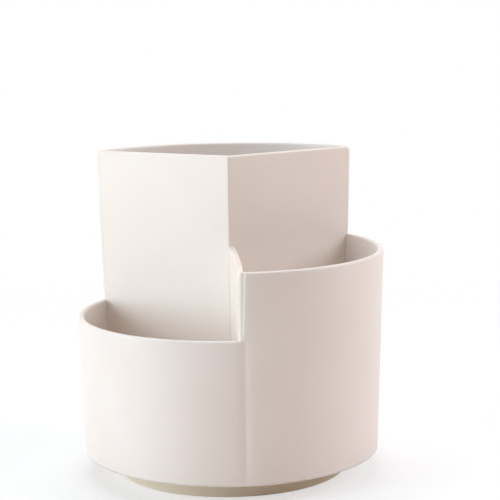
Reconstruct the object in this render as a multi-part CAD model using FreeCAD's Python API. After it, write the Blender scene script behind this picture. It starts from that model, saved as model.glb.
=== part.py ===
import FreeCAD, Part
import math
import os

# Rotating desk organizer: a stepped round tub on a ball-bearing foot.
# Millimetres, +Z up. The origin is the centre of the foot, on the plane the pads stand on.
# The front divider points along -Y. Angles run anticlockwise from +X, seen from above.

# ---------------------------------------------------------------- driving dimensions
# Tub
rim_radius = 63.0             # outside radius of the tub at the middle rim
draft_deg = 1.75              # the wall leans outward by this on its way up
tub_wall = 2.4
low_rim_height = 65.4         # front left pocket
middle_rim_height = 91.5      # front right pocket
tall_rim_height = 129.3       # pen pockets at the back
floor_thickness = 2.4
floor_corner_radius = 2.0     # inside, where wall and floor meet
rim_round = 1.0               # both edges of the rims and of the wall's upright ends
skirt_round = 0.6
pen_pocket_deg = 114.0        # between the two pen walls, behind the axis
rib_count = 8                 # stiffening ribs under the floor
rib_thickness = 1.6

# Divider insert
divider_thickness = 2.2
fin_crown = 1.3               # the front divider's top rises this far above the middle rim, half way out
divider_top_round = 0.8
corner_round = 0.8            # upright front edge where the two pen walls meet
insert_gap = 0.15             # all round the insert, to the tub's wall
insert_boss_radius = 3.4
insert_boss_height = 10.0
insert_boss_distance = 45.0   # from the axis
insert_boss_overlap = 1.0     # of a boss with the wall that it stands beside

# Pen separator, a panel that slides down between two pairs of rails
separator_thickness = 1.8
separator_height = 100.0
separator_gap = 0.15          # each side of the panel, in its rails
rail_thickness = 1.3
rail_depth = 3.0              # of the rails on the tub's wall
rail_length = 5.0             # of the rails behind the corner, from the axis
separator_round = 0.6

# Screws that hold the insert
insert_screw_radius = 1.25
insert_screw_head_radius = 2.6
insert_screw_head_height = 1.5
insert_screw_grip = 7.0       # length inside the boss

# Foot
foot_radius = 47.2
foot_draft_deg = 1.5          # wider at the bottom
foot_wall = 2.2
foot_edge_round = 0.6
deck_thickness = 2.0
foot_rib_count = 8
foot_rib_thickness = 1.4
hub_wall = 2.4
hub_height = 3.0              # above the deck
washer_room = 1.2             # round the retaining washer, inside its well

# Bottom cover and its pads
ground_clearance = 0.5
cover_thickness = 1.8
cover_gap = 0.15
cover_screw_count = 4
cover_screw_circle = 36.0     # radius
cover_screw_radius = 1.25
cover_screw_head_radius = 2.5
cover_screw_head_height = 1.1
cover_boss_radius = 3.2
pad_count = 4
pad_circle = 35.0             # radius
pad_radius = 6.5
pad_well_depth = 0.8
pad_gap = 0.15
pad_round = 0.4

# Ball bearing
ball_radius = 1.6
ball_count = 20
ball_circle = 32.0            # radius
ball_clearance = 0.05
race_plate_thickness = 1.0
race_plate_spacing = 2.4      # between the two plates' faces
race_half_width = 5.0         # from the ball circle to a plate's near edge
race_reach = 11.5             # from the ball circle to a plate's far edge
race_screw_offset = 8.6       # from the ball circle to the screws
race_screw_count = 4
race_screw_radius = 1.25
race_screw_head_radius = 2.3
race_screw_head_height = 1.2
race_screw_grip = 3.4         # below or above the plate
cage_thickness = 1.2
cage_half_width = 3.4
land_height = 2.0             # rings and ribs under the floor that the upper plate seats on

# Pivot
spindle_radius = 6.0
spindle_clearance = 0.05
bush_wall = 1.4
bush_flange_width = 2.0
bush_flange_thickness = 0.8
fit_gap = 0.05                # parts that are pressed or screwed together
thread_insert_radius = 3.1
thread_insert_length = 6.5
thread_groove_depth = 0.4     # grip groove round the thread insert
thread_groove_width = 1.0
pivot_screw_radius = 2.0
pivot_screw_length = 6.8
pivot_head_radius = 3.9
pivot_head_height = 1.6
head_room = 0.3               # between the screw's head and the bottom cover
lock_washer_radius = 3.6
lock_washer_thickness = 0.6
lock_washer_split = 0.8
retaining_washer_radius = 9.4
retaining_washer_thickness = 0.8
thrust_washer_thickness = 0.4
thrust_play = 0.05
skirt_gap = 0.5               # between the foot's deck and the bottom edge of the tub
screw_gap = 0.05
recess_width = 0.7            # cross recesses in the screw heads
recess_depth = 0.6
recess_reach = 0.55           # of a screw head's radius
head_round_share = 0.4        # of a pan head's height that is rounded

# ---------------------------------------------------------------- derived heights, bottom to top
cover_bottom = ground_clearance
cover_top = cover_bottom + cover_thickness
pivot_head_bottom = cover_top + head_room
lock_washer_bottom = pivot_head_bottom + pivot_head_height
retaining_bottom = lock_washer_bottom + lock_washer_thickness
spindle_end = retaining_bottom + retaining_washer_thickness
thrust_bottom = spindle_end + thrust_play
deck_underside = thrust_bottom + thrust_washer_thickness + thrust_play
deck_top = deck_underside + deck_thickness
hub_top = deck_top + hub_height
lower_plate_top = deck_top + race_plate_thickness
upper_plate_bottom = lower_plate_top + race_plate_spacing
ball_height = (lower_plate_top + upper_plate_bottom) / 2
land_bottom = upper_plate_bottom + race_plate_thickness
floor_underside = land_bottom + land_height
floor_top = floor_underside + floor_thickness
skirt_bottom = deck_top + skirt_gap
separator_top = floor_top + separator_height
bush_outside = spindle_radius + spindle_clearance + bush_wall

# Directions of the walls
fin_deg = -90.0
pen_middle_deg = 90.0
right_wall_deg = pen_middle_deg - pen_pocket_deg / 2
left_wall_deg = pen_middle_deg + pen_pocket_deg / 2

UP = FreeCAD.Vector(0, 0, 1)
BIG = 4 * rim_radius          # longer than the whole object
PAST = 1.0                    # cutting shapes run this far past the face they open
OVERLAP = 0.5                 # ribs and rails run this far into the wall they join
TINY = 1e-3


# ---------------------------------------------------------------- small helpers
def vec(x, y, z=0.0):
    return FreeCAD.Vector(x, y, z)


def polar(radius, degrees, z=0.0):
    turn = math.radians(degrees)
    return vec(radius * math.cos(turn), radius * math.sin(turn), z)


def turned(shape, degrees):
    """A copy of the shape, turned about the vertical axis."""
    copy = shape.copy()
    copy.rotate(vec(0, 0), UP, degrees)
    return copy


def round_bar(radius, bottom, top, centre=None):
    at = centre if centre else vec(0, 0)
    return Part.makeCylinder(radius, top - bottom, vec(at.x, at.y, bottom))


def ring(inner, outer, bottom, top, centre=None):
    return round_bar(outer, bottom, top, centre).cut(round_bar(inner, bottom - PAST, top + PAST, centre))


def block(x0, x1, y0, y1, z0, z1):
    return Part.makeBox(x1 - x0, y1 - y0, z1 - z0, vec(x0, y0, z0))


def fuse(shapes):
    whole = shapes[0].multiFuse(shapes[1:]) if len(shapes) > 1 else shapes[0]
    return whole.removeSplitter()


def circle_points(count, radius, start_deg=0.0):
    return [polar(radius, start_deg + 360.0 * i / count) for i in range(count)]


def wall_radius(z):
    """Outside radius of the drafted tub at a height."""
    return rim_radius + (z - middle_rim_height) * math.tan(math.radians(draft_deg))


def drafted_bar(inset, bottom, top):
    """Solid cone that follows the tub's outside, set in by a distance."""
    low, high = wall_radius(bottom) - inset, wall_radius(top) - inset
    return Part.makeCone(low, high, top - bottom, vec(0, 0, bottom))


def edges_at(shape, test):
    """Edges whose middle point passes the test (x, y, z, edge)."""
    chosen = []
    for edge in shape.Edges:
        middle = edge.valueAt((edge.FirstParameter + edge.LastParameter) / 2)
        if test(middle.x, middle.y, middle.z, edge):
            chosen.append(edge)
    return chosen


def save(name, shape):
    shape.exportStep(os.path.join("parts", name + ".step"))


def half_space(side, degrees, offset, bottom):
    """Everything on one side of an upright plane along a direction from the axis.

    side is +1 for the anticlockwise side and -1 for the clockwise side; offset moves the plane that way.
    """
    near, far = sorted((side * offset, side * BIG))
    return turned(block(-BIG, BIG, near, far, bottom, BIG), degrees)


def between(start_deg, start_offset, end_deg, end_offset, bottom):
    """Everything from one upright plane anticlockwise round to another, each set in by its offset."""
    start = half_space(1, start_deg, start_offset, bottom)
    return start.common(half_space(-1, end_deg, end_offset, bottom))


def cross_recess(centre, head_radius, mouth, direction):
    """Cross-shaped driver recess, cut from the mouth plane in the given vertical direction."""
    low, high = sorted((mouth - direction * PAST, mouth + direction * recess_depth))
    arm = recess_reach * head_radius
    bars = []
    for half_x, half_y in ((arm, recess_width / 2), (recess_width / 2, arm)):
        bars.append(block(centre.x - half_x, centre.x + half_x,
                          centre.y - half_y, centre.y + half_y, low, high))
    return bars[0].fuse(bars[1])


# ---------------------------------------------------------------- pieces that turn with the tub
def cavity(inset):
    """The hollow of the tub, with its rounded floor corner, set in from the wall by a distance."""
    hollow = drafted_bar(tub_wall + inset, floor_top, tall_rim_height + PAST)
    bottom_edge = edges_at(hollow, lambda x, y, z, e: abs(z - floor_top) < TINY and e.Length > rim_radius)
    return hollow.makeFillet(floor_corner_radius, bottom_edge)


def pocket_cut(bottom, low_side):
    """What is cut from the tub in front of a pen wall, above a rim."""
    if low_side:
        return between(left_wall_deg, divider_thickness, fin_deg, 0, bottom)
    return between(fin_deg, 0, right_wall_deg, divider_thickness, bottom)


def insert_screw_points():
    """Screw axes beside the right pen wall, the left pen wall and the front divider."""
    behind = insert_boss_radius - insert_boss_overlap
    right = turned_point(insert_boss_distance, behind, right_wall_deg)
    left = turned_point(insert_boss_distance, -behind, left_wall_deg)
    front = turned_point(insert_boss_distance, divider_thickness + behind, fin_deg)
    return [right, left, front]


def turned_point(along, aside, degrees):
    """A point at a distance along a direction and aside from it, anticlockwise positive."""
    cosine, sine = math.cos(math.radians(degrees)), math.sin(math.radians(degrees))
    return vec(along * cosine - aside * sine, along * sine + aside * cosine)


def upper_race_screws_at():
    return circle_points(race_screw_count, ball_circle - race_screw_offset, 180.0 / race_screw_count)


def lower_race_screws_at():
    return circle_points(race_screw_count, ball_circle + race_screw_offset, 180.0 / race_screw_count)


def tub_underside():
    """Rings, ribs, bosses and the pivot spindle below the floor."""
    rib_end = wall_radius(floor_underside) - tub_wall + OVERLAP
    half = rib_thickness / 2
    rib = block(spindle_radius - OVERLAP, rib_end, -half, half, land_bottom, floor_underside)
    parts = [turned(rib, 360.0 * (i + 0.5) / rib_count) for i in range(rib_count)]
    inner = ball_circle - race_reach
    outer = ball_circle + race_half_width
    parts.append(ring(inner, inner + rib_thickness, land_bottom, floor_underside))
    parts.append(ring(outer - rib_thickness, outer, land_bottom, floor_underside))
    boss_radius = race_screw_radius + rib_thickness
    parts += [round_bar(boss_radius, land_bottom, floor_underside, p) for p in upper_race_screws_at()]
    parts.append(round_bar(spindle_radius, spindle_end, floor_underside))
    return parts


def separator_rails(x0, x1, bottom, top):
    """A pair of upright rails either side of the pen separator, along its direction."""
    near = separator_thickness / 2 + separator_gap
    far = near + rail_thickness
    pair = block(x0, x1, near, far, bottom, top).fuse(block(x0, x1, -far, -near, bottom, top))
    return turned(pair, pen_middle_deg)


def tub_shell():
    """Stepped wall and floor with every free edge rounded, before ribs, rails and holes."""
    shell = drafted_bar(0, skirt_bottom, tall_rim_height).cut(cavity(0))
    shell = shell.cut(drafted_bar(tub_wall, skirt_bottom, floor_underside))
    shell = shell.cut(pocket_cut(low_rim_height, True)).cut(pocket_cut(middle_rim_height, False))

    def free_edge(x, y, z, edge):
        """Rim arcs, the upright edges of the wall's ends, and the short edges across their tops."""
        depth = wall_radius(z) - math.hypot(x, y)
        on_face = min(abs(depth), abs(depth - tub_wall)) < tub_wall / 100
        level = edge.BoundBox.ZLength < TINY
        at_rim = min(abs(z - h) for h in (low_rim_height, middle_rim_height, tall_rim_height)) < TINY
        rim_arc = level and at_rim and on_face and edge.Length > 4 * tub_wall
        upright = on_face and z > low_rim_height and edge.BoundBox.ZLength > 0.9 * edge.Length
        across = level and at_rim and z > low_rim_height + TINY and edge.Length < 2 * tub_wall
        return rim_arc or upright or across

    shell = shell.makeFillet(rim_round, edges_at(shell, free_edge))
    bottom = edges_at(shell, lambda x, y, z, e: abs(z - skirt_bottom) < TINY)
    return shell.makeFillet(skirt_round, bottom)


def outer_tub():
    rails = separator_rails(wall_radius(floor_top) - tub_wall - rail_depth, BIG, floor_top, separator_top)
    pockets = drafted_bar(tub_wall + rail_depth, floor_underside, tall_rim_height)
    rails = rails.common(cavity(-OVERLAP)).cut(pockets)
    tub = fuse([tub_shell(), rails] + tub_underside())
    insert_top = spindle_end + thread_insert_length
    insert_bore = round_bar(thread_insert_radius + fit_gap, spindle_end - PAST, insert_top)
    tub = tub.cut(insert_bore).cut(round_bar(pivot_screw_radius + screw_gap, spindle_end, floor_underside))
    holes = [round_bar(race_screw_radius + screw_gap, land_bottom - PAST, land_bottom + race_screw_grip, p)
             for p in upper_race_screws_at()]
    holes += [round_bar(insert_screw_radius + screw_gap, floor_underside - PAST, floor_top + PAST, p)
              for p in insert_screw_points()]
    return tub.cut(fuse(holes))


def divider_insert():
    """Pen walls meeting in a corner on the axis, and the front divider, as one moulding."""
    behind_front = half_space(1, right_wall_deg, -divider_thickness, floor_top)
    behind_front = behind_front.common(half_space(-1, left_wall_deg, -divider_thickness, floor_top))
    inside = between(right_wall_deg, 0, left_wall_deg, 0, floor_top - PAST)
    under_rim = round_bar(BIG, floor_top, tall_rim_height)
    walls = behind_front.cut(inside).common(under_rim)

    def corner(x, y, z, edge):
        return abs(x) < divider_thickness and y < -divider_thickness / 2 and edge.BoundBox.ZLength > BIG / 4

    walls = walls.makeFillet(corner_round, edges_at(walls, corner)).common(cavity(insert_gap))
    top = edges_at(walls, lambda x, y, z, e: abs(z - tall_rim_height) < TINY)
    walls = walls.makeFillet(divider_top_round, top)
    insert = fuse([walls, front_fin().common(cavity(insert_gap)), insert_rails()] + insert_bosses())
    hole_top = floor_top + insert_screw_grip + PAST
    holes = [round_bar(insert_screw_radius + screw_gap, floor_top - PAST, hole_top, p)
             for p in insert_screw_points()]
    return insert.cut(fuse(holes))


def front_fin():
    """Front divider. Its left face lies on the axis, and its top is one shallow arc down to the rim."""
    wall_at = -(wall_radius(middle_rim_height) - tub_wall)
    inner = vec(0, 0, middle_rim_height)
    crown = vec(0, wall_at / 2, middle_rim_height + fin_crown)
    outer = vec(0, wall_at, middle_rim_height)
    corners = [outer, vec(0, -BIG, middle_rim_height), vec(0, -BIG, floor_top), vec(0, 0, floor_top), inner]
    edges = [Part.LineSegment(a, b).toShape() for a, b in zip(corners, corners[1:])]
    edges.append(Part.Arc(inner, crown, outer).toShape())
    fin = Part.Face(Part.Wire(edges)).extrude(vec(divider_thickness, 0, 0))

    def top_edge(x, y, z, edge):
        long_way = edge.BoundBox.YLength > 2 * divider_thickness
        return z > middle_rim_height - TINY and long_way

    fin = fin.makeFillet(divider_top_round, edges_at(fin, top_edge))
    return fin.cut(between(right_wall_deg, 0, left_wall_deg, 0, floor_top - PAST))


def insert_rails():
    """The separator's rails behind the corner, trimmed to the pen walls."""
    behind = between(right_wall_deg, -divider_thickness / 2, left_wall_deg, -divider_thickness / 2, floor_top)
    return separator_rails(0, rail_length, floor_top, separator_top).common(behind)


def insert_bosses():
    top = floor_top + insert_boss_height
    return [round_bar(insert_boss_radius, floor_top, top, p) for p in insert_screw_points()]


def pen_separator():
    half = separator_thickness / 2
    half_opening = math.radians(pen_pocket_deg / 2)
    start = (half + separator_gap) / math.tan(half_opening) + separator_gap
    panel = block(start, BIG, -half, half, floor_top, separator_top)
    panel = turned(panel, pen_middle_deg).common(cavity(separator_gap))
    top = edges_at(panel, lambda x, y, z, e: abs(z - separator_top) < TINY)
    return panel.makeFillet(separator_round, top)


def pan_screw(centre, radius, head_radius, head_height, seat, tip, direction):
    """Pan-head screw: the head hangs from its seat against the direction in which the shank points."""
    head_low, head_high = sorted((seat, seat - direction * head_height))
    shank_low, shank_high = sorted((seat, tip))
    head = round_bar(head_radius, head_low, head_high, centre)
    crown = edges_at(head, lambda x, y, z, e: abs(z - (seat - direction * head_height)) < TINY)
    head = head.makeFillet(head_round_share * head_height, crown)
    shank = round_bar(radius, shank_low, shank_high, centre)
    return head.fuse(shank).cut(cross_recess(centre, head_radius, seat - direction * head_height, direction))


def group(solids):
    return Part.makeCompound(solids)


def insert_screws():
    tip = floor_top + insert_screw_grip
    return group([pan_screw(p, insert_screw_radius, insert_screw_head_radius, insert_screw_head_height,
                            floor_underside, tip, 1) for p in insert_screw_points()])


def race_groove():
    """The round groove that the balls run in."""
    return Part.makeTorus(ball_circle, ball_radius + ball_clearance, vec(0, 0, ball_height), UP)


def race_plate(inner, outer, bottom, screws_at):
    plate = ring(inner, outer, bottom, bottom + race_plate_thickness).cut(race_groove())
    holes = [round_bar(race_screw_radius + screw_gap, bottom - PAST, bottom + race_plate_thickness + PAST, p)
             for p in screws_at]
    return plate.cut(fuse(holes))


def upper_race_plate():
    return race_plate(ball_circle - race_reach, ball_circle + race_half_width, upper_plate_bottom,
                      upper_race_screws_at())


def lower_race_plate():
    return race_plate(ball_circle - race_half_width, ball_circle + race_reach, deck_top,
                      lower_race_screws_at())


def upper_race_screws():
    tip = land_bottom + race_screw_grip - screw_gap
    return group([pan_screw(p, race_screw_radius, race_screw_head_radius, race_screw_head_height,
                            upper_plate_bottom, tip, 1) for p in upper_race_screws_at()])


def lower_race_screws():
    tip = deck_top - race_screw_grip + screw_gap
    return group([pan_screw(p, race_screw_radius, race_screw_head_radius, race_screw_head_height,
                            lower_plate_top, tip, -1) for p in lower_race_screws_at()])


def threaded_insert():
    """Brass thread insert in the spindle, with a grip groove round its middle."""
    bottom = spindle_end + fit_gap
    top = spindle_end + thread_insert_length - fit_gap
    middle = (bottom + top) / 2
    barrel = ring(pivot_screw_radius + screw_gap, thread_insert_radius, bottom, top)
    half = thread_groove_width / 2
    groove_bottom = thread_insert_radius - thread_groove_depth
    groove = ring(groove_bottom, thread_insert_radius + PAST, middle - half, middle + half)
    return barrel.cut(groove)


def pivot_screw():
    tip = spindle_end + pivot_screw_length - screw_gap
    return pan_screw(vec(0, 0), pivot_screw_radius, pivot_head_radius, pivot_head_height,
                     lock_washer_bottom, tip, 1)


def lock_washer():
    washer = ring(pivot_screw_radius + screw_gap, lock_washer_radius, lock_washer_bottom, retaining_bottom)
    half = lock_washer_split / 2
    return washer.cut(block(0, BIG, -half, half, lock_washer_bottom - PAST, retaining_bottom + PAST))


def retaining_washer():
    return ring(pivot_screw_radius + screw_gap, retaining_washer_radius, retaining_bottom, spindle_end)


# ---------------------------------------------------------------- ball bearing
def race_balls():
    return group([Part.makeSphere(ball_radius, vec(p.x, p.y, ball_height))
                  for p in circle_points(ball_count, ball_circle)])


def ball_cage():
    half = cage_thickness / 2
    low, high = ball_height - half, ball_height + half
    cage = ring(ball_circle - cage_half_width, ball_circle + cage_half_width, low, high)
    pockets = [round_bar(ball_radius + ball_clearance, low - PAST, high + PAST, p)
               for p in circle_points(ball_count, ball_circle)]
    return cage.cut(fuse(pockets))


# ---------------------------------------------------------------- pieces that stand still
def foot_shell():
    """Round foot: side wall, deck, hub for the pivot, and ribs and bosses under the deck."""
    lean = (deck_top - cover_bottom) * math.tan(math.radians(foot_draft_deg))
    body = Part.makeCone(foot_radius, foot_radius - lean, deck_top - cover_bottom, vec(0, 0, cover_bottom))
    body = body.makeFillet(foot_edge_round, body.Edges)
    body = body.cut(round_bar(foot_radius - foot_wall, cover_bottom - PAST, deck_underside))
    washer_well = retaining_washer_radius + washer_room
    rib_end = foot_radius - foot_wall + OVERLAP
    rib = block(washer_well + OVERLAP, rib_end, -foot_rib_thickness / 2, foot_rib_thickness / 2,
                cover_top, deck_underside)
    parts = [body, ring(washer_well, washer_well + foot_rib_thickness, cover_top, deck_underside)]
    parts += [turned(rib, 360.0 * (i + 0.5) / foot_rib_count) for i in range(foot_rib_count)]
    parts += [round_bar(cover_boss_radius, cover_top, deck_underside, p) for p in cover_screws_at()]
    boss_bottom = deck_top - race_screw_grip - foot_rib_thickness / 2
    boss_radius = race_screw_radius + foot_rib_thickness
    parts += [round_bar(boss_radius, boss_bottom, deck_underside, p) for p in lower_race_screws_at()]
    parts.append(round_bar(bush_outside + fit_gap + hub_wall, deck_underside, hub_top))
    shell = fuse(parts).cut(round_bar(bush_outside + fit_gap, deck_underside - PAST, hub_top + PAST))
    holes = [round_bar(race_screw_radius + screw_gap, deck_top - race_screw_grip, deck_top + PAST, p)
             for p in lower_race_screws_at()]
    holes += [round_bar(cover_screw_radius + screw_gap, cover_top - PAST, deck_underside, p)
              for p in cover_screws_at()]
    return shell.cut(fuse(holes))


def pivot_bush():
    bore = spindle_radius + spindle_clearance
    sleeve = ring(bore, bush_outside, deck_underside, hub_top + bush_flange_thickness)
    flange = ring(bore, bush_outside + bush_flange_width, hub_top, hub_top + bush_flange_thickness)
    return fuse([sleeve, flange])


def thrust_washer():
    inside = spindle_radius + spindle_clearance
    return ring(inside, retaining_washer_radius, thrust_bottom, thrust_bottom + thrust_washer_thickness)


def cover_screws_at():
    return circle_points(cover_screw_count, cover_screw_circle)


def pads_at():
    return circle_points(pad_count, pad_circle, 180.0 / pad_count)


def bottom_cover():
    cover = round_bar(foot_radius - foot_wall - cover_gap, cover_bottom, cover_top)
    well_top = cover_bottom + pad_well_depth
    cuts = [round_bar(pad_radius + pad_gap, cover_bottom - PAST, well_top, p) for p in pads_at()]
    for point in cover_screws_at():
        cuts.append(round_bar(cover_screw_radius + screw_gap, cover_bottom - PAST, cover_top + PAST, point))
        cuts.append(countersink(point, screw_gap))
    return cover.cut(fuse(cuts))


def countersink(point, gap):
    """Cone of a countersunk head, grown by a gap, with its mouth in the cover's lower face."""
    base = vec(point.x, point.y, cover_bottom)
    mouth, neck = cover_screw_head_radius + gap, cover_screw_radius + gap
    return Part.makeCone(mouth, neck, cover_screw_head_height, base)


def cover_screws():
    screws = []
    for point in cover_screws_at():
        shank = round_bar(cover_screw_radius, cover_bottom, deck_underside - screw_gap, point)
        screw = countersink(point, 0).fuse(shank)
        screws.append(screw.cut(cross_recess(point, cover_screw_head_radius, cover_bottom, 1)))
    return group(screws)


def grip_pads():
    pads = []
    for point in pads_at():
        pad = round_bar(pad_radius, 0, cover_bottom + pad_well_depth, point)
        pads.append(pad.makeFillet(pad_round, edges_at(pad, lambda x, y, z, e: abs(z) < TINY)))
    return group(pads)


PIECES = [
    outer_tub, divider_insert, pen_separator, insert_screws,
    upper_race_plate, upper_race_screws, threaded_insert, pivot_screw, lock_washer, retaining_washer,
    race_balls, ball_cage,
    foot_shell, lower_race_plate, lower_race_screws, pivot_bush, thrust_washer,
    bottom_cover, cover_screws, grip_pads,
]

os.makedirs("parts", exist_ok=True)
for piece in PIECES:
    save(piece.__name__, piece())
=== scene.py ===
import math

import bmesh
import bpy
import numpy as np
from mathutils import Matrix, Vector


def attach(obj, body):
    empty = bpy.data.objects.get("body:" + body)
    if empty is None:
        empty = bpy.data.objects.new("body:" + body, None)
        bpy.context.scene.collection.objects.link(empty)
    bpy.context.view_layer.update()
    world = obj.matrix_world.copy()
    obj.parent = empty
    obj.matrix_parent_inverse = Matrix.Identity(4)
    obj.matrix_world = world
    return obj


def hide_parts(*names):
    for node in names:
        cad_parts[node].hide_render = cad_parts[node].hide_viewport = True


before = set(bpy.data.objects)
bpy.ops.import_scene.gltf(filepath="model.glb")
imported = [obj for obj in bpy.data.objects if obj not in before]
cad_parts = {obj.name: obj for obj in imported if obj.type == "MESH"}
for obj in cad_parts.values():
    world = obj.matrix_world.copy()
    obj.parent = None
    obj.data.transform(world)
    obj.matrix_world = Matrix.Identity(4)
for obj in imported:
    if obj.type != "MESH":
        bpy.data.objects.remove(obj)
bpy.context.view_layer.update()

MM = 0.001

# ---------------------------------------------------------------- sizes, in millimetres
# Tub
RIM_RADIUS = 63.0
DRAFT = math.tan(math.radians(1.75))
WALL = 2.4
LOW_RIM = 65.4
MIDDLE_RIM = 91.5
TALL_RIM = 129.3
FLOOR_TOP = 16.9
FLOOR_UNDERSIDE = 14.5
FLOOR_CORNER = 2.0
SKIRT_BOTTOM = 8.6
SKIRT_ROUND = 0.6
RIM_ROUND = 1.0
END_ROUND = 2.8               # how far the rounding of a wall's upright end reaches along the wall,
END_DEPTH = 2.2               # and through it
INNER_EASE = 0.03             # that end's inner edge is nearly sharp, where the divider meets it
END_CORNER = 0.6              # added to the rounding where a rim turns down into an upright end
STEP_FILLET = 0.6             # where a lower rim runs into an upright end
RIGHT_WALL_DEG = 33.0
LEFT_WALL_DEG = 147.0
FRONT_DEG = -90.0
STEP_BASE_DEG = 13.0          # how far round the wall's base the lines below one step of the rim are spread
FINE_DEG = 12.0               # how far from the front step the rim's points stand close together
SINK_DEPTH = 0.5              # the shallow line that moulding left on the outside, opposite the front divider,
SINK_WIDTH = 1.1              # how it spreads,
SINK_PLACE = 2.2              # how far it is to the right of that divider's left face,
SINK_FADE = 3.0               # the height over which it comes in above the skirt,
SINK_LEFT = 0.5               # and what is left of it above the low rim
LIP_DEPTH = 0.28              # a small step above the low rim, beside the wall's upright end,
LIP_WIDTH = 0.18              # how it spreads,
LIP_PLACES = (1.75, 2.6)      # and where it is at the low rim and at the middle rim

# Underside of the tub
LAND_BOTTOM = 12.5
SPINDLE = 6.0
SPINDLE_END = 5.6
BRASS_BORE = 3.15
BRASS_TOP = 12.1
SCREW_BORE = 2.05
INNER_RING = (20.5, 22.1)
OUTER_RING = (35.4, 37.0)
RIB_COUNT = 8
RIB_WIDTH = 1.6
RIB_SEAT = 0.3                # how far a rib's ends run into the spindle and the wall,
RIB_TOP_SEAT = 0.2            # and its top into the floor

# Divider insert
DIVIDER = 2.2
INSERT_GAP = 0.02             # the insert sits tight against the wall, with no seam to be seen
FIN_NEAR = 1.6                # the front divider starts this far in front of the axis, within the pen walls
FIN_START = 0.55              # its height above the middle rim there,
FIN_CROWN = 1.75              # its height where it is tallest,
FIN_CROWN_SHARE = 0.65        # and how far out that is, as a share of its length
FIN_ROUND = 0.4               # its upper edges
FIN_SET_BACK = 0.03           # its left face stays this far behind the wall's upright end,
FIN_END_DEPTH = 0.8           # and it stops this far inside the outer face
CORNER_ROUND = 0.8
TOP_ROUND = 0.8
BOSS_RADIUS = 3.4
BOSS_TOP = 26.9
BOSSES = ((36.43, 26.52), (-36.43, 26.52), (4.6, -45.0))

# Separator's rails
RAIL_NEAR = 1.05              # from the separator's middle to a rail's near face,
RAIL_FAR = 2.35               # and to its far face
RAIL_DEPTH = 3.0              # how far the tub's pair stands out from the wall
RAIL_START = 0.6              # where the insert's pair starts behind the axis,
RAIL_LENGTH = 5.0             # and where it ends
RAIL_TOP = 116.9
RAIL_ROUND = 0.25
RAIL_SEAT = 0.5               # how far the tub's pair runs into the wall,
RAIL_FOOT_SEAT = 0.1          # and both pairs into the floor

SUPPORT = 0.25                # width of the strips that keep a flat face's shading flat beside its rounding
SHARP = 0.01                  # radius of a corner that is left sharp

# ---------------------------------------------------------------- stage
FLOOR_SIZE = 6.0              # half its width, in metres
FLOOR_FADE = (0.12, 0.5)      # metres from the axis between which it fades to pure white for the eye
FLOOR_PAPER = "#f4e5db"       # warm white paper, as the light on the object finds it
FLOOR_SHADE = 0.45            # how much of the light and shadow on it shows to the eye,
FLOOR_LIFT = 0.595            # and the white added to it for the eye alone
ROOM_COLOUR = (1.0, 0.83, 0.76, 1)
ROOM_LIGHT = 0.16
LAMP_AWAY = 0.9               # metres from the aim to each lamp
LAMP_AIM = (0.0, 0.0, 0.065)  # metres: the object's middle
LAMPS = (                     # name, azimuth and elevation in degrees, width in metres, watts, colour
    ("key_left", 200, 14, 0.6, 6.15, (0.825, 0.975, 1.065)),
    ("fill_right", -8, 33, 0.6, 4.35, (0.98, 1.005, 1.055)),
    ("top_back", 100, 68, 0.7, 4.4, (0.95, 0.98, 1.0)),
)
CAMERA_PLACE = (-31.8, -650.2, 190.8)        # in millimetres
CAMERA_HEADING, CAMERA_PITCH, CAMERA_ROLL = 3.551, 8.766, -0.756     # in degrees, pitch downwards
CAMERA_FOCAL = 1610.0         # in pixels of a frame FRAME_PIXELS wide
FRAME_PIXELS = 500
SENSOR = 36.0                 # in millimetres


# ---------------------------------------------------------------- meshes
def weld(name, grids):
    """One mesh from closed grids, each rows by columns by 3, in millimetres.

    A grid closes round its columns. Its first and last rows are collapsed to a point or a line, so that
    merging equal points closes it. Faces are then made to point outwards.
    """
    points, faces, first = [], [], 0
    for grid in grids:
        rows, cols = grid.shape[:2]
        here = first + np.arange(rows * cols).reshape(rows, cols)
        beside = np.roll(here, -1, axis=1)
        faces.append(np.stack([here[:-1], beside[:-1], beside[1:], here[1:]], -1).reshape(-1, 4))
        points.append(grid.reshape(-1, 3))
        first += rows * cols
    mesh = bpy.data.meshes.new(name)
    mesh.from_pydata((np.concatenate(points) * MM).tolist(), [], np.concatenate(faces).tolist())
    work = bmesh.new()
    work.from_mesh(mesh)
    bmesh.ops.remove_doubles(work, verts=work.verts, dist=1e-7)
    bmesh.ops.dissolve_degenerate(work, edges=work.edges, dist=1e-8)
    bmesh.ops.recalc_face_normals(work, faces=work.faces)
    work.to_mesh(mesh)
    work.free()
    mesh.polygons.foreach_set("use_smooth", np.ones(len(mesh.polygons), bool))
    piece = bpy.data.objects.new(name, mesh)
    bpy.context.scene.collection.objects.link(piece)
    return piece


def unit(vectors):
    """Each vector divided by its length."""
    return vectors / np.maximum(np.linalg.norm(vectors, axis=-1, keepdims=True), 1e-12)


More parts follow.
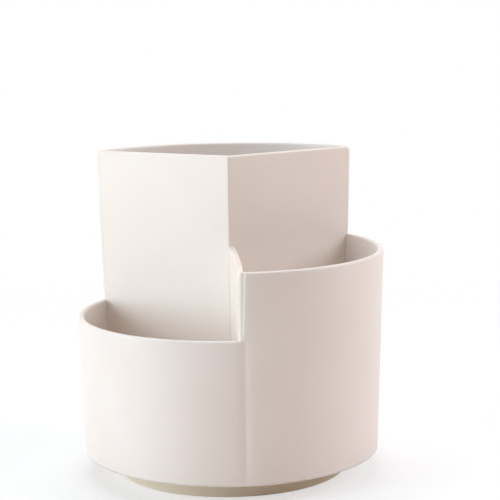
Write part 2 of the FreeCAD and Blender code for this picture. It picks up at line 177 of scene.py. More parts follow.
def bend(corners, radii, steps, closed=True):
    """A path of straight runs and tangent arcs: each corner becomes an arc of its radius.

    tangent length = radius / tan(half the angle between the runs); the centre lies on the bisector at
    radius / sin(half angle). A support point stands on each run just before and after the arc.
    """
    before, after = np.roll(corners, 1, axis=0) - corners, np.roll(corners, -1, axis=0) - corners
    if not closed:
        before[0], after[-1] = -after[0], -before[-1]
    to_before, to_after = unit(before), unit(after)
    half = np.arccos(np.clip((to_before * to_after).sum(-1), -1, 1)) / 2
    half = np.clip(half, 0.01, math.pi / 2 - 1e-4)[:, None]
    radii = np.broadcast_to(radii, len(corners))[:, None]
    centre = corners + unit(to_before + to_after + 1e-9) * radii / np.sin(half)
    reach = radii / np.tan(half)
    start, end = corners + to_before * reach - centre, corners + to_after * reach - centre
    turn = (math.pi - 2 * half)[:, None]
    share = np.linspace(0, 1, steps)[None, :, None]
    arc = np.sin((1 - share) * turn) * start[:, None] + np.sin(share * turn) * end[:, None]
    arc = centre[:, None] + arc / np.sin(turn)
    run = np.minimum(np.linalg.norm(before, axis=-1), np.linalg.norm(after, axis=-1))[:, None]
    step = np.minimum(SUPPORT, 0.2 * run)
    lead, trail = arc[:, 0] + to_before * step, arc[:, -1] + to_after * step
    path = np.concatenate([lead[:, None], arc, trail[:, None]], 1)
    if not closed:
        inner = path[1:-1].reshape(-1, corners.shape[1])
        return np.concatenate([corners[:1], inner, corners[-1:]])
    return path.reshape(-1, corners.shape[1])


def mitre(corners):
    """Inward mitre of each corner of an anticlockwise outline, and +1 for a convex corner or -1."""
    run = unit(np.roll(corners, -1, axis=0) - corners)
    inward = np.stack([-run[:, 1], run[:, 0]], -1)
    last, last_run = np.roll(inward, 1, axis=0), np.roll(run, 1, axis=0)
    turn = last_run[:, 0] * run[:, 1] - last_run[:, 1] * run[:, 0]
    return (last + inward) / (1 + (last * inward).sum(-1, keepdims=True)), np.sign(turn)


def prism(low, high, bottom, top, radii, ease, waist, steps=6):
    """Upright bar on an anticlockwise outline, with rounded upright, top and bottom edges.

    Its corners run straight from the low outline to the high one. A row at height z is that outline set in by
    d, where the edge's arc gives d = r(1 - cos t) and its height r(1 - sin t) below the top. The end rows are
    set in by waist, half the bar's width, which folds them to the bar's middle line.
    """
    quarter = np.linspace(0, math.pi / 2, steps)
    drop, inset = ease[1] * (1 - np.sin(quarter)), ease[1] * (1 - np.cos(quarter))
    rise, bottom_inset = ease[0] * (1 - np.sin(quarter)), ease[0] * (1 - np.cos(quarter))
    heights = [bottom, *(bottom + rise[::-1]), bottom + ease[0] + SUPPORT]
    insets = [waist, *bottom_inset[::-1], 0]
    heights += [top - ease[1] - SUPPORT, *(top - drop), top]
    insets += [0, *inset, waist]
    rows = []
    for height, set_in in zip(heights, insets):
        share = (height - bottom) / (top - bottom)
        corners = low + (high - low) * share
        direction, convex = mitre(corners)
        outline = bend(corners + set_in * direction,
                       SHARP if set_in == waist else np.maximum(radii - convex * set_in, SHARP), steps)
        rows.append(np.column_stack([outline, np.full(len(outline), height)]))
    return np.stack(rows)


def turned(profile, columns, centre=(0.0, 0.0)):
    """Surface of revolution: each (radius, height) of the profile goes round the upright line at centre."""
    turn = np.arange(columns) * 2 * math.pi / columns
    radius, height = profile[:, 0, None], profile[:, 1, None]
    x, y = centre[0] + radius * np.cos(turn), centre[1] + radius * np.sin(turn)
    return np.stack([x, y, np.broadcast_to(height, x.shape)], -1)


def outside_radius(height):
    """The tub's outer radius: rim radius + (height - middle rim) x tangent of the draft angle."""
    return RIM_RADIUS + (height - MIDDLE_RIM) * DRAFT


def spun(points, degrees):
    """Plan points turned anticlockwise about the axis."""
    turn = math.radians(degrees)
    return points @ np.array([[math.cos(turn), math.sin(turn)], [-math.sin(turn), math.cos(turn)]])


# ---------------------------------------------------------------- tub
def rim_arc(start, end, base_start, base_end, height, count):
    """Points of the rim's outline along one level stretch, as columns for on_wall and wall_rows."""
    line = np.zeros((count, 10))
    line[:, 0] = np.linspace(start, end, count)
    line[:, 2] = height
    line[:, 4] = line[:, 6] = RIM_ROUND
    line[:, 7] = line[:, 8] = RIM_ROUND
    line[:, 9] = np.linspace(base_start, base_end, count)
    return line


def rim_step(direction, plane, turn, low, high, base_spread, steps=8, upright=14):
    """Outline of one step of the rim: a small fillet, the upright end, and a rounded corner at its top.

    Columns: direction of the wall's plane, distance from that plane, height, outward vector of the outer
    rounding (2), of the inner rounding (2), radial depth of the outer and inner roundings, base angle.
    turn is +1 where the rim rises anticlockwise, and -1 where it falls.
    """
    t = np.linspace(0, math.pi / 2, steps)
    s, c = np.sin(t), np.cos(t)
    k, e = STEP_FILLET, END_CORNER

    def rows(o, z, n_o, n_z, m_o, m_z, mix):
        depth = RIM_ROUND + (END_DEPTH - RIM_ROUND) * mix
        inner = RIM_ROUND + (INNER_EASE - RIM_ROUND) * mix
        plain = np.zeros_like(o)
        return np.stack([plain, o, z, n_o, n_z, m_o, m_z, depth, inner, plain], -1)

    foot = rows(k * s - k, low + k - k * c, -END_ROUND * s, RIM_ROUND * c, -INNER_EASE * s, RIM_ROUND * c, s ** 2)
    z = np.linspace(low + k, high - RIM_ROUND - e, upright)[1:-1]
    one = np.ones_like(z)
    side = rows(0 * z, z, -END_ROUND * one, 0 * z, -INNER_EASE * one, 0 * z, one)
    across, drop = END_ROUND + e, RIM_ROUND + e
    head = rows(across - across * c, high - drop + drop * s, -END_ROUND * c, RIM_ROUND * s,
                -INNER_EASE * c, RIM_ROUND * s, c ** 2)
    step = np.concatenate([foot, side, head])
    step[:, 9] = np.linspace(0, base_spread, len(step))
    step[:, [1, 3, 5]] *= turn
    step[:, 1] += plane
    step[:, 0] = direction
    edge = direction + math.degrees(math.asin(plane / RIM_RADIUS))
    step[:, 9] = edge + turn * step[:, 9]
    return step if turn > 0 else step[::-1]


def on_wall(direction, plane, height, depth):
    """Angle on the wall's cone: radius r = outside radius - depth, angle = direction + asin(plane / r)."""
    radius = outside_radius(height) - depth
    return direction + np.degrees(np.arcsin(plane / radius)), radius


def wall_points(angle, radius, height):
    """Points about the axis: (r cos a, r sin a, z)."""
    turn = np.radians(angle)
    return np.stack([radius * np.cos(turn), radius * np.sin(turn), np.broadcast_to(height, turn.shape)], -1)


def sunk(points):
    """Points of the outside moved inwards by its two marks, which go to nothing through the wall.

    Sink line: depth / cosh(distance / width). Lip, above the low rim: (depth / 2)(1 - tanh(distance / width)),
    so that the wall's upright end is lower than what is beside it.
    """
    x, y, z = np.moveaxis(points, -1, 0)
    radius = np.hypot(x, y)
    above = np.clip((z - LOW_RIM) / SINK_FADE, 0, 1)
    sink = SINK_DEPTH / np.cosh((x - SINK_PLACE) / SINK_WIDTH) * np.clip((z - SKIRT_BOTTOM) / SINK_FADE, 0, 1)
    lip = LIP_DEPTH / 2 * (1 - np.tanh((x - np.interp(z, (LOW_RIM, MIDDLE_RIM), LIP_PLACES)) / LIP_WIDTH))
    through = np.clip(1 - (outside_radius(z) - radius) / END_DEPTH, 0, 1)
    keep = 1 - (sink * (1 - (1 - SINK_LEFT) * above) + lip * above) * through * (y < 0) / radius
    return points * np.stack([keep, keep, np.ones_like(keep)], -1)


def rounding_rows(outline, outer, steps=9):
    """Rounded edge of the rim: C + N sin t along the wall and depth r(1 - cos t) into it, t from 0 to 90 deg."""
    n_o, n_z, depth = outline[:, [3, 4, 7]].T if outer else outline[:, [5, 6, 8]].T
    rows = []
    for t in np.linspace(0, math.pi / 2, steps):
        plane = outline[:, 1] - n_o * (1 - math.sin(t))
        height = outline[:, 2] - n_z * (1 - math.sin(t))
        into = depth * (1 - math.cos(t))
        angle, radius = on_wall(outline[:, 0], plane, height, into if outer else WALL - into)
        rows.append(wall_points(angle, radius, height))
    return np.stack(rows)


def wall_rows(outline, outer, base_height, steps=16):
    """Smooth wall from its base ring up to the rounding, straight in angle and height over the cone."""
    n_o, n_z = outline[:, [3, 4]].T if outer else outline[:, [5, 6]].T
    depth = 0 if outer else WALL
    top_height = outline[:, 2] - n_z
    top_angle, _ = on_wall(outline[:, 0], outline[:, 1] - n_o, top_height, depth)
    top_angle = outline[:, 9] + (top_angle - outline[:, 9] + 180) % 360 - 180
    # a close row beside each end keeps the shading of the roundings off the wall
    shares = np.concatenate([[0, 0.004], np.linspace(0, 1, steps)[1:-1], [0.996]])
    rows = []
    for share in shares:
        height = base_height + (top_height - base_height) * share
        angle = outline[:, 9] + (top_angle - outline[:, 9]) * share
        rows.append(wall_points(angle, outside_radius(height) - depth, height))
    return np.stack(rows)


def rim_outline():
    """The whole rim, anticlockwise from the front: middle, tall and low stretches with their steps."""
    edge = math.degrees(math.asin(DIVIDER / RIM_RADIUS))
    corner = math.degrees((END_ROUND + END_CORNER) / RIM_RADIUS)
    fillet = math.degrees(STEP_FILLET / RIM_RADIUS)
    spaced, fine = STEP_BASE_DEG, FINE_DEG
    right, left, front = RIGHT_WALL_DEG - edge, LEFT_WALL_DEG + edge, FRONT_DEG + 360
    parts = [
        rim_step(FRONT_DEG, 0.0, 1, LOW_RIM, MIDDLE_RIM, spaced),
        rim_arc(FRONT_DEG + corner, FRONT_DEG + fine, FRONT_DEG + spaced, FRONT_DEG + fine + spaced,
                MIDDLE_RIM, 24)[1:],
        rim_arc(FRONT_DEG + fine, right - fillet, FRONT_DEG + fine + spaced, right, MIDDLE_RIM, 116)[1:-1],
        rim_step(RIGHT_WALL_DEG, -DIVIDER, 1, MIDDLE_RIM, TALL_RIM, spaced),
        rim_arc(right + corner, left - corner, right + spaced, left - spaced, TALL_RIM, 120)[1:-1],
        rim_step(LEFT_WALL_DEG, DIVIDER, -1, LOW_RIM, TALL_RIM, spaced, upright=20),
        rim_arc(left + fillet, front - fine, left, front - fine, LOW_RIM, 116)[1:],
        rim_arc(front - fine, front - fillet, front - fine, front, LOW_RIM, 36)[1:-1],
    ]
    return np.concatenate(parts)


def underside_profile():
    """Radius and height from the axis out to the skirt: screw and insert bores, spindle, race lands, skirt."""
    skirt_inside = outside_radius(FLOOR_UNDERSIDE) - WALL
    skirt_foot = outside_radius(SKIRT_BOTTOM)
    corners = np.array([
        (0.0, FLOOR_UNDERSIDE), (SCREW_BORE, FLOOR_UNDERSIDE), (SCREW_BORE, BRASS_TOP), (BRASS_BORE, BRASS_TOP),
        (BRASS_BORE, SPINDLE_END), (SPINDLE, SPINDLE_END), (SPINDLE, FLOOR_UNDERSIDE),
        (INNER_RING[0], FLOOR_UNDERSIDE), (INNER_RING[0], LAND_BOTTOM), (INNER_RING[1], LAND_BOTTOM),
        (INNER_RING[1], FLOOR_UNDERSIDE), (OUTER_RING[0], FLOOR_UNDERSIDE), (OUTER_RING[0], LAND_BOTTOM),
        (OUTER_RING[1], LAND_BOTTOM), (OUTER_RING[1], FLOOR_UNDERSIDE), (skirt_inside, FLOOR_UNDERSIDE),
        (skirt_foot - WALL, SKIRT_BOTTOM), (skirt_foot, SKIRT_BOTTOM),
        (outside_radius(SKIRT_BOTTOM + SKIRT_ROUND), SKIRT_BOTTOM + SKIRT_ROUND)])
    radii = np.array([0, 0.05, 0.05, 0.05, 0.05, 0.3, 0.4, 0.3, 0.15, 0.15, 0.3, 0.3, 0.15, 0.15, 0.3, 0.5,
                      SKIRT_ROUND, SKIRT_ROUND * 0.9, 0])
    return bend(corners, np.maximum(radii, SHARP), 3, closed=False)


def make_tub():
    """Stepped tub: one closed skin from the axis below, out over the skirt, up the wall, over the rim and
    down inside to the middle of the floor; with ribs below the floor and rails for the pen separator."""
    outline = rim_outline()
    base_outside = SKIRT_BOTTOM + SKIRT_ROUND
    base_inside = FLOOR_TOP + FLOOR_CORNER
    base = np.radians(outline[:, 9])
    below = underside_profile()[:-1]
    corner_radius = outside_radius(base_inside) - WALL
    t = np.linspace(0, math.pi / 2, 9)
    bowl = np.stack([corner_radius - FLOOR_CORNER * (1 - np.cos(t)), base_inside - FLOOR_CORNER * np.sin(t)], -1)
    floor = np.stack([np.array([0.995, 0.8, 0.6, 0.4, 0.2, 0.05, 0.0]) * (corner_radius - FLOOR_CORNER),
                      np.full(7, FLOOR_TOP)], -1)
    inside = np.concatenate([bowl[1:], floor])

    def rings(profile):
        return np.stack([np.outer(profile[:, 0], np.cos(base)), np.outer(profile[:, 0], np.sin(base)),
                         np.broadcast_to(profile[:, 1, None], (len(profile), len(base)))], -1)

    outer_wall = sunk(wall_rows(outline, True, base_outside))
    outer_round = sunk(rounding_rows(outline, True, 33))
    inner_round = rounding_rows(outline, False)[::-1]
    skin = np.concatenate([rings(below), outer_wall, outer_round, inner_round,
                           wall_rows(outline, False, base_inside)[::-1], rings(inside)])
    return weld("tub", [skin] + tub_ribs() + tub_rails())


def tub_ribs():
    """Straight ribs under the floor, from the spindle to the wall."""
    near, far = SPINDLE - RIB_SEAT, outside_radius(LAND_BOTTOM) - WALL + RIB_SEAT
    half = RIB_WIDTH / 2
    plan = np.array([(near, -half), (far, -half), (far, half), (near, half)])
    return [prism(spun(plan, a), spun(plan, a), LAND_BOTTOM, FLOOR_UNDERSIDE + RIB_TOP_SEAT, np.full(4, 0.1),
                  (0.15, 0.02), half, 4) for a in (np.arange(RIB_COUNT) + 0.5) * 360 / RIB_COUNT]


def rail_pair(near_low, far_low, near_high, far_high, top):
    """Two upright rails, one each side of the separator, drawn along +X and turned to +Y."""
    pair = []
    for sign in (1, -1):
        y0, y1 = sorted((sign * RAIL_NEAR, sign * RAIL_FAR))
        low = np.array([(near_low, y0), (far_low, y0), (far_low, y1), (near_low, y1)])
        high = np.array([(near_high, y0), (far_high, y0), (far_high, y1), (near_high, y1)])
        pair.append(prism(spun(low, 90), spun(high, 90), FLOOR_TOP - RAIL_FOOT_SEAT, top,
                          np.full(4, RAIL_ROUND), (0.02, 0.3), (RAIL_FAR - RAIL_NEAR) / 2, 5))
    return pair


def tub_rails():
    """The pair on the tub's back wall, following the wall's draft."""
    low, high = outside_radius(FLOOR_TOP) - WALL, outside_radius(RAIL_TOP) - WALL
    return rail_pair(low - RAIL_DEPTH, low + RAIL_SEAT, high - RAIL_DEPTH, high + RAIL_SEAT, RAIL_TOP)


# ---------------------------------------------------------------- divider insert
def pen_wall_plan(height):
    """Plan of the two pen walls at a height: rear faces through the axis, front faces a wall's width before
    them, and ends on the circle r = inside radius of the tub less the gap."""
    radius = outside_radius(height) - WALL - INSERT_GAP
    along = math.sqrt(radius ** 2 - DIVIDER ** 2)
    right = spun(np.array([(along, -DIVIDER), (radius, 0.0)]), RIGHT_WALL_DEG)
    left = spun(np.array([(radius, 0.0), (along, DIVIDER)]), LEFT_WALL_DEG)
    front = np.array([(0.0, -DIVIDER / math.cos(math.radians(RIGHT_WALL_DEG)))])
    return np.concatenate([front, right, np.zeros((1, 2)), left])


def make_fin():
    """Front divider: a rounded upright section carried from the pen walls' corner out into the tub's wall.

    Its top rises as a quarter sine from FIN_START to FIN_CROWN above the middle rim, and falls to the rim as
    a quarter ellipse. In the wall, its left face and its top follow the roundings of the wall's upright end
    and of the rim: across r(1 - sqrt(1 - (1 - depth / d)^2)), so that the corner between the two is full. The
    depth is counted as it was before the sink line and the lip.
    """
    stations, in_wall = 70, 10
    share = np.concatenate([[0, 0], np.linspace(0.01, 1, stations), np.ones(in_wall + 1)])
    fall = np.maximum(share - FIN_CROWN_SHARE, 0) / (1 - FIN_CROWN_SHARE)
    climb = FIN_START + (FIN_CROWN - FIN_START) * np.sin(math.pi / 2 * share / FIN_CROWN_SHARE)
    rise = np.where(share < FIN_CROWN_SHARE, climb, FIN_CROWN * np.sqrt(1 - fall ** 2))
    depth = np.concatenate([np.full(stations + 2, WALL), np.linspace(END_DEPTH, FIN_END_DEPTH, in_wall),
                            [FIN_END_DEPTH]])
    pull = SINK_DEPTH * SINK_LEFT + LIP_DEPTH
    drawn = (depth - pull) / (1 - pull / END_DEPTH)
    left = FIN_SET_BACK + END_ROUND * (1 - np.sqrt(1 - np.maximum(1 - drawn / END_DEPTH, 0) ** 2))
    top = MIDDLE_RIM + rise - RIM_ROUND * (1 - np.sqrt(1 - np.maximum(1 - drawn / RIM_ROUND, 0) ** 2))
    right, bottom = np.full_like(left, DIVIDER), FLOOR_TOP
    left[[0, -1]] = right[[0, -1]] = (left[[0, -1]] + DIVIDER) / 2
    left[[0, -1]] -= 1e-4
    rows = []
    for i in range(len(share)):
        corners = np.array([(left[i], bottom), (right[i], bottom), (right[i], top[i]), (left[i], top[i])])
        radii = np.minimum([0.05, 0.05, FIN_ROUND, FIN_ROUND], 0.45 * (right[i] - left[i]))
        section = bend(corners, radii, 9)
        far = outside_radius(section[:, 1]) - depth[i]
        rows.append(np.stack([section[:, 0], -FIN_NEAR - (far - FIN_NEAR) * share[i], section[:, 1]], -1))
    return np.stack(rows)


def make_divider():
    """Divider insert: pen walls, front fin, screw bosses and the separator's inner rails."""
    radii = np.array([CORNER_ROUND, 0.02, 0.3, 0.6, 0.3, 0.02])
    walls = prism(pen_wall_plan(FLOOR_TOP), pen_wall_plan(TALL_RIM), FLOOR_TOP, TALL_RIM, radii, (0.05, TOP_ROUND),
                  DIVIDER / 2, 9)
    boss = bend(np.array([(0, FLOOR_TOP), (BOSS_RADIUS, FLOOR_TOP), (BOSS_RADIUS, BOSS_TOP), (0, BOSS_TOP)]),
                np.array([SHARP, 0.05, 0.5, SHARP]), 6, closed=False)
    bosses = [turned(boss, 48, centre) for centre in BOSSES]
    rails = rail_pair(RAIL_START, RAIL_LENGTH, RAIL_START, RAIL_LENGTH, RAIL_TOP)
    return weld("divider", [walls, make_fin()] + bosses + rails)


# ---------------------------------------------------------------- materials
def linear(colour):
    """sRGB hex to linear: c / 12.92 below 0.04045, else ((c + 0.055) / 1.055) ** 2.4."""
    values = np.array([int(colour[i:i + 2], 16) for i in (1, 3, 5)]) / 255
    values = np.where(values <= 0.04045, values / 12.92, ((values + 0.055) / 1.055) ** 2.4)
    return (*values.tolist(), 1.0)


def add(tree, kind, settings=None, links=None):
    """A node of a kind. Settings go to its properties or its inputs; links join its inputs to outputs."""
    node = tree.nodes.new(kind)
    for name, value in (settings or {}).items():
        if isinstance(name, str) and hasattr(node, name):
            setattr(node, name, value)
        else:
            node.inputs[name].default_value = value
    for name, output in (links or {}).items():
        tree.links.new(output, node.inputs[name])
    return node


def new_material(name, shader_settings):
    """A material with one Principled shader, and the Object coordinates for its patterns."""
    material = bpy.data.materials.new(name)
    material.use_nodes = True
    tree = material.node_tree
    tree.nodes.clear()
    place = add(tree, "ShaderNodeTexCoord").outputs["Object"]
    shader = add(tree, "ShaderNodeBsdfPrincipled", shader_settings)
    add(tree, "ShaderNodeOutputMaterial", links={"Surface": shader.outputs["BSDF"]})
    return material, tree, place, shader


def mixed_colour(tree, factor, dark, light, low=0.3, high=0.7):
    """From one colour to the other as the factor goes from low to high."""
    ramp = add(tree, "ShaderNodeMapRange", {"From Min": low, "From Max": high}, {"Value": factor})
    blend = add(tree, "ShaderNodeMix", {"data_type": "RGBA"}, {0: ramp.outputs[0]})
    blend.inputs[6].default_value = linear(dark)
    blend.inputs[7].default_value = linear(light)
    return blend.outputs[2]


def spread(tree, factor, low, high):
    """The middle half of a noise's range stretched over low to high."""
    return add(tree, "ShaderNodeMapRange", {"From Min": 0.25, "From Max": 0.75, "To Min": low, "To Max": high},
               {"Value": factor}).outputs[0]


def moulded_plastic(name, dark, light, gloss, grain_mm, grain_height_mm, swell_height_mm, ior=1.54, seed=0.0):
    """Injection-moulded plastic. Two close shades follow the flow of the melt, about 38 mm across, and the
    roughness drifts with them. Two bumps make the surface: a slow swell from cooling, about 9 mm across, and the
    grain of the steel tool."""
    material, tree, place, shader = new_material(name, {"IOR": ior, "Metallic": 0.0})
    moved = add(tree, "ShaderNodeMapping", {"Location": (seed, 2 * seed, -seed)}, {"Vector": place}).outputs[0]
    flow = add(tree, "ShaderNodeTexNoise", {"Scale": 1 / (38 * MM), "Detail": 2.0, "Distortion": 0.6},
               {"Vector": moved}).outputs["Fac"]
    swell = add(tree, "ShaderNodeTexNoise", {"Scale": 1 / (9 * MM), "Detail": 1.0}, {"Vector": moved}).outputs["Fac"]
    grain = add(tree, "ShaderNodeTexNoise", {"Scale": 1 / (grain_mm * MM), "Detail": 3.0, "Roughness": 0.6},
                {"Vector": moved}).outputs["Fac"]
    tree.links.new(mixed_colour(tree, flow, dark, light), shader.inputs["Base Color"])
    tree.links.new(spread(tree, flow, gloss[0], gloss[1]), shader.inputs["Roughness"])
    slow = add(tree, "ShaderNodeBump", {"Strength": 1.0, "Distance": swell_height_mm * MM}, {"Height": swell})
    fine = add(tree, "ShaderNodeBump", {"Strength": 1.0, "Distance": grain_height_mm * MM},
               {"Height": grain, "Normal": slow.outputs["Normal"]})
    tree.links.new(fine.outputs["Normal"], shader.inputs["Normal"])
    return material


def soft_rubber():
    """Thermoplastic rubber, moulded: matt, with the dust-grey shade and the pimpled face that such pads have.
    Dots 1.1 mm apart."""
    material, tree, place, shader = new_material("moulded_soft_rubber", {"IOR": 1.5, "Roughness": 0.82})
    dots = add(tree, "ShaderNodeTexVoronoi", {"Scale": 1 / (1.1 * MM), "Randomness": 0.0}, {"Vector": place})
    bloom = add(tree, "ShaderNodeTexNoise", {"Scale": 1 / (4 * MM), "Detail": 3.0}, {"Vector": place}).outputs["Fac"]
    tree.links.new(mixed_colour(tree, bloom, "#6f6c69", "#817e7a"), shader.inputs["Base Color"])
    bump = add(tree, "ShaderNodeBump", {"Strength": 0.6, "Distance": 0.12 * MM, "invert": True},
               {"Height": dots.outputs["Distance"]})
    tree.links.new(bump.outputs["Normal"], shader.inputs["Normal"])
    return material


def bright_metal(name, dark, light, gloss, mark_mm, mark_height_mm, stretch=(1.0, 1.0, 1.0)):
    """Metal with fine marks. The stretch draws them out: along the rolling, or round a turned piece's axis."""
    material, tree, place, shader = new_material(name, {"Metallic": 1.0})
    drawn = add(tree, "ShaderNodeMapping", {"Scale": stretch}, {"Vector": place}).outputs[0]
    marks = add(tree, "ShaderNodeTexNoise", {"Scale": 1 / (mark_mm * MM), "Detail": 4.0}, {"Vector": drawn})
    marks = marks.outputs["Fac"]
    tree.links.new(mixed_colour(tree, marks, dark, light), shader.inputs["Base Color"])
    tree.links.new(spread(tree, marks, gloss[0], gloss[1]), shader.inputs["Roughness"])
    bump = add(tree, "ShaderNodeBump", {"Strength": 1.0, "Distance": mark_height_mm * MM}, {"Height": marks})
    tree.links.new(bump.outputs["Normal"], shader.inputs["Normal"])
    return material


# ABS moulded in a fine-stoned tool: warm ivory, satin, nearly free of grain. The grain is drawn coarser than the
# real 0.1 mm so that it shows. The divider is coloured a little creamier than the tub. The foot's colour is
# painted shade: yellower and darker than the tub's, standing for the warm shade it lies in under the tub's overhang.
abs_tub = moulded_plastic("satin_moulded_abs_tub", "#f2e8e1", "#f5ece6", (0.36, 0.44), 0.7, 0.004, 0.03)
abs_divider = moulded_plastic("satin_moulded_abs_divider", "#f8ebe1", "#faefe6", (0.38, 0.46), 0.7, 0.004, 0.03,
                              seed=0.31)
abs_separator = moulded_plastic("satin_moulded_abs_separator", "#f1e7e0", "#f4ebe5", (0.4, 0.48), 0.7, 0.004, 0.03,
                                seed=0.57)
# painted shade: the foot gets a yellower, darker colour than the tub for the shade under the tub's overhang
foot_abs_painted_shade = moulded_plastic("satin_moulded_abs_foot_with_painted_shade", "#efdfc6", "#f3e4cd", (0.4, 0.48), 0.7, 0.004, 0.02, seed=0.83)
# The cover's tool is spark-eroded: an even matt grain, 0.5 mm across.
abs_cover = moulded_plastic("spark_eroded_moulded_abs_cover", "#ede3dc", "#f1e8e1", (0.55, 0.64), 0.5, 0.03, 0.02,
                            seed=1.1)
# Acetal: white, waxy and close to glossy.
acetal = moulded_plastic("moulded_acetal", "#eceae4", "#f2f0ec", (0.26, 0.34), 1.2, 0.002, 0.01, ior=1.48, seed=1.4)
rubber = soft_rubber()
# Metals, with their marks drawn coarser than the real ones so that they show. Zinc-plated sheet is grey with
# faint marks along the rolling, and plated screws are brighter. Lapped bearing steel is close to a mirror.
zinc_plate = bright_metal("pressed_zinc_plated_sheet", "#a9acae", "#c3c6c8", (0.26, 0.42), 1.6, 0.004,
                          (1.0, 0.2, 1.0))
zinc_screw = bright_metal("zinc_plated_screw_steel", "#a4a7aa", "#c6c9cb", (0.2, 0.34), 0.5, 0.003)
bearing_steel = bright_metal("lapped_bearing_steel", "#bcbdbf", "#cfd0d2", (0.05, 0.1), 0.4, 0.0005)
# Turned brass: yellow, with fine rings from the lathe.
brass = bright_metal("turned_brass", "#c29a4d", "#d6b266", (0.18, 0.3), 0.35, 0.004, (0.15, 0.15, 1.0))

finishes = {
    "foot_shell": foot_abs_painted_shade, "bottom_cover": abs_cover, "pen_separator": abs_separator, "grip_pads": rubber,
    "outer_tub": abs_tub, "divider_insert": abs_divider,
    "ball_cage": acetal, "pivot_bush": acetal, "thrust_washer": acetal, "race_balls": bearing_steel,
    "threaded_insert": brass, "upper_race_plate": zinc_plate, "lower_race_plate": zinc_plate,
    "insert_screws": zinc_screw, "upper_race_screws": zinc_screw, "lower_race_screws": zinc_screw,
    "cover_screws": zinc_screw, "pivot_screw": zinc_screw, "lock_washer": zinc_screw,
    "retaining_washer": zinc_screw,
}
for node_name, finish in finishes.items():
    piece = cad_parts[node_name]
    if not piece.material_slots:
        piece.data.materials.append(finish)
    for material_slot in piece.material_slots:
        material_slot.material = finish

# ---------------------------------------------------------------- the new pieces
tub = make_tub()
tub.data.materials.append(abs_tub)
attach(tub, "carousel")
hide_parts("outer_tub")

divider = make_divider()
divider.data.materials.append(abs_divider)
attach(divider, "carousel")
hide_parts("divider_insert")

# ---------------------------------------------------------------- floor, light and camera
def seen_rays(tree):
    """1 for what the camera, reflections and refractions see, and 0 for the light that falls on the object."""
    path = add(tree, "ShaderNodeLightPath")
    seen = path.outputs["Is Camera Ray"]
    for name in ("Is Glossy Ray", "Is Transmission Ray"):
        seen = add(tree, "ShaderNodeMath", {"operation": "MAXIMUM"}, {0: seen, 1: path.outputs[name]}).outputs[0]
    return seen


def make_floor():
    """White sweep. To the eye it is a little brighter than its own shade, and it fades to pure white away from
    the axis; the object's shadow near it stays."""
    size = FLOOR_SIZE
    mesh = bpy.data.meshes.new("floor")
    mesh.from_pydata([(-size, -size, 0), (size, -size, 0), (size, size, 0), (-size, size, 0)], [], [(0, 1, 2, 3)])
    floor = bpy.data.objects.new("floor", mesh)
    bpy.context.scene.collection.objects.link(floor)
    material = bpy.data.materials.new("white_paper_sweep")
    material.use_nodes = True
    tree = material.node_tree
    tree.nodes.clear()
    place = add(tree, "ShaderNodeTexCoord").outputs["Object"]
    away = add(tree, "ShaderNodeVectorMath", {"operation": "LENGTH"}, {0: place}).outputs["Value"]
    fade = add(tree, "ShaderNodeMapRange", {"interpolation_type": "SMOOTHSTEP", "From Min": FLOOR_FADE[0],
                                            "From Max": FLOOR_FADE[1]}, {"Value": away}).outputs[0]
    paper = add(tree, "ShaderNodeBsdfDiffuse", {"Color": linear(FLOOR_PAPER)})
    shaded = add(tree, "ShaderNodeBsdfDiffuse", {"Color": (FLOOR_SHADE, FLOOR_SHADE, FLOOR_SHADE, 1)})
    lifted = add(tree, "ShaderNodeEmission", {"Strength": FLOOR_LIFT})
    bright = add(tree, "ShaderNodeAddShader", links={0: shaded.outputs[0], 1: lifted.outputs[0]})
    white = add(tree, "ShaderNodeEmission", {"Strength": 1.0})
    far = add(tree, "ShaderNodeMixShader", links={0: fade, 1: bright.outputs[0], 2: white.outputs[0]})
    both = add(tree, "ShaderNodeMixShader", links={0: seen_rays(tree), 1: paper.outputs[0], 2: far.outputs[0]})
    add(tree, "ShaderNodeOutputMaterial", links={"Surface": both.outputs[0]})
    mesh.materials.append(material)


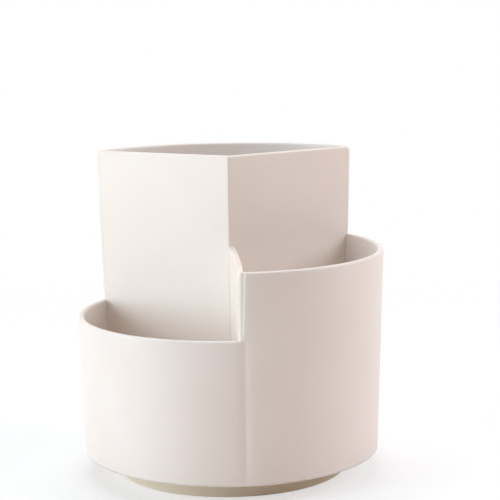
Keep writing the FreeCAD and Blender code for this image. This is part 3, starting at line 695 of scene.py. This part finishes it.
def make_world():
    """A dim warm room for the light on the object, and plain white to the eye."""
    world = bpy.data.worlds.new("studio")
    bpy.context.scene.world = world
    world.use_nodes = True
    tree = world.node_tree
    tree.nodes.clear()
    room = add(tree, "ShaderNodeBackground", {"Color": ROOM_COLOUR, "Strength": ROOM_LIGHT})
    white = add(tree, "ShaderNodeBackground", {"Color": (1, 1, 1, 1), "Strength": 1.0})
    both = add(tree, "ShaderNodeMixShader", links={0: seen_rays(tree), 1: room.outputs[0], 2: white.outputs[0]})
    add(tree, "ShaderNodeOutputWorld", links={"Surface": both.outputs[0]})


def softbox(name, azimuth, elevation, size, watts, colour):
    """Square area light at an azimuth and elevation in degrees about the aim, facing it."""
    around, up = math.radians(azimuth), math.radians(elevation)
    away = Vector((math.cos(up) * math.cos(around), math.cos(up) * math.sin(around), math.sin(up)))
    lamp = bpy.data.lights.new(name, "AREA")
    lamp.shape, lamp.size, lamp.energy, lamp.color = "SQUARE", size, watts, colour
    light = bpy.data.objects.new(name, lamp)
    light.location = Vector(LAMP_AIM) + LAMP_AWAY * away
    light.rotation_euler = away.to_track_quat("Z", "Y").to_euler()
    bpy.context.scene.collection.objects.link(light)


def make_camera():
    """Camera by heading, pitch and roll, with its focal length in pixels turned to a lens for the sensor."""
    heading, pitch, roll = (math.radians(a) for a in (CAMERA_HEADING, CAMERA_PITCH, CAMERA_ROLL))
    forward = Vector((math.sin(heading) * math.cos(pitch), math.cos(heading) * math.cos(pitch), -math.sin(pitch)))
    level = Vector((math.cos(heading), -math.sin(heading), 0.0))
    upright = level.cross(forward)
    right = math.cos(roll) * level + math.sin(roll) * upright
    up = math.cos(roll) * upright - math.sin(roll) * level
    data = bpy.data.cameras.new("camera")
    data.sensor_width, data.lens = SENSOR, CAMERA_FOCAL / FRAME_PIXELS * SENSOR
    data.clip_start, data.clip_end = 0.01, 50.0
    camera = bpy.data.objects.new("camera", data)
    turn = Matrix((right, up, -forward)).transposed()
    camera.matrix_world = Matrix.Translation(Vector(CAMERA_PLACE) * MM) @ turn.to_4x4()
    bpy.context.scene.collection.objects.link(camera)
    bpy.context.scene.camera = camera


make_floor()
make_world()
for lamp_settings in LAMPS:
    softbox(*lamp_settings)
make_camera()
bpy.context.scene.view_settings.view_transform = "Standard"
